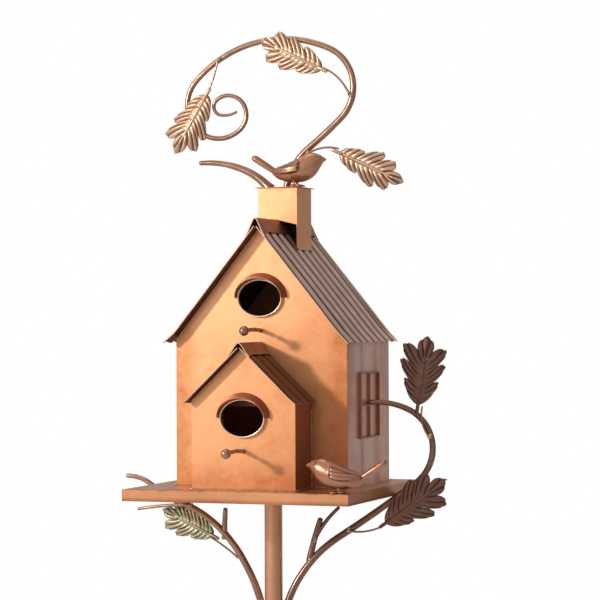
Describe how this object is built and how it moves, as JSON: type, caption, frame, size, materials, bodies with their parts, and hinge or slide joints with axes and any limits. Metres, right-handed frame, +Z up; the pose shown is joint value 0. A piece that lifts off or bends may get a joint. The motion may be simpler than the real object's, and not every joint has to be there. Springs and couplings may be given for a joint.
{
  "type": "birdhouse on stake pole",
  "caption": "Gabled copper-finished birdhouse with a porch on a folded tray, with scroll rods, leaves and birds, on a sectioned stake pole with a ground fork.",
  "frame": {"origin": "on the pole's axis at the ground line, where the ground fork's shoulder stops", "axes": "+Z up along the pole, the house's front faces -Y, +X is to the right of someone who faces the front"},
  "size_m": [0.3454, 0.2582, 1.6071],
  "materials": {
    "blackened_steel": "dark blackened steel, satin",
    "pole_tube": "copper finish, satin",
    "tray_sheet": "copper finish, satin, lightly mottled",
    "wall_sheet": "copper finish, satin, lightly mottled",
    "roof_sheet": "darkened copper finish, satin",
    "rod": "copper finish, satin",
    "leaf": "copper finish with dark veins",
    "verdigris_leaf": "copper finish with green patina",
    "bird": "copper finish, satin",
    "bright_edge": "polished copper finish",
    "hood": "darkened copper finish",
    "perch": "copper finish",
    "fittings": "copper finish"
  },
  "bodies": {
    "stake": {"ground_spike": "blackened_steel", "fork_hub": "blackened_steel", "fork_prongs": "blackened_steel", "lower_pole": "pole_tube", "middle_pole": "pole_tube"},
    "house": {"upper_pole": "pole_tube", "pole_flange": "pole_tube", "flange_screws": "fittings", "flange_nuts": "blackened_steel", "tray": "tray_sheet", "front_wall": "wall_sheet", "back_wall": "wall_sheet", "left_wall": "wall_sheet", "right_wall": "wall_sheet", "roof_left": "roof_sheet", "roof_right": "roof_sheet", "ridge_cap": "roof_sheet", "chimney": "wall_sheet", "chimney_cap": "wall_sheet", "upper_rim": "bright_edge", "upper_hood": "hood", "upper_perch": "perch", "porch_front_wall": "wall_sheet", "porch_left_wall": "wall_sheet", "porch_right_wall": "wall_sheet", "porch_roof_left": "roof_sheet", "porch_roof_right": "roof_sheet", "porch_ridge_cap": "roof_sheet", "lower_rim": "bright_edge", "lower_hood": "hood", "lower_perch": "perch", "right_window_frame": "wall_sheet", "right_window_bars": "wall_sheet", "left_window_frame": "wall_sheet", "left_window_bars": "wall_sheet", "top_scroll": "rod", "chimney_twig": "rod", "scroll_leaf_stems": "rod", "scroll_leaf_left": "leaf", "scroll_leaf_top": "leaf", "scroll_leaf_right": "leaf", "chimney_bird": "bird", "left_branch": "rod", "left_twigs": "rod", "left_branch_leaf": "verdigris_leaf", "left_leaf_stem": "rod", "right_branch": "rod", "right_twigs": "rod", "right_leaf_stems": "rod", "right_leaf_upper": "leaf", "right_leaf_lower": "leaf", "platform_bird": "bird", "wall_hinge_leaf": "fittings", "hinge_pin": "fittings", "button_stud": "fittings"},
    "door": {"cleanout_door": "wall_sheet", "door_hinge_leaf": "fittings"},
    "latch": {"turn_button": "fittings"}
  },
  "joints": [
    {"name": "pole_swivel", "type": "hinge", "parent": "stake", "child": "house", "pos_m": [0, 0, 0.62], "axis": [0, 0, 1], "continuous": true},
    {"name": "door_hinge", "type": "hinge", "parent": "house", "child": "door", "pos_m": [-0.055, 0.1069, 0.9815], "axis": [0, 0, 1], "range_deg": [0, 110]},
    {"name": "button_turn", "type": "hinge", "parent": "house", "child": "latch", "pos_m": [0.059, 0.106, 0.9815], "axis": [0, -1, 0], "range_deg": [0, 90]}
  ]
}
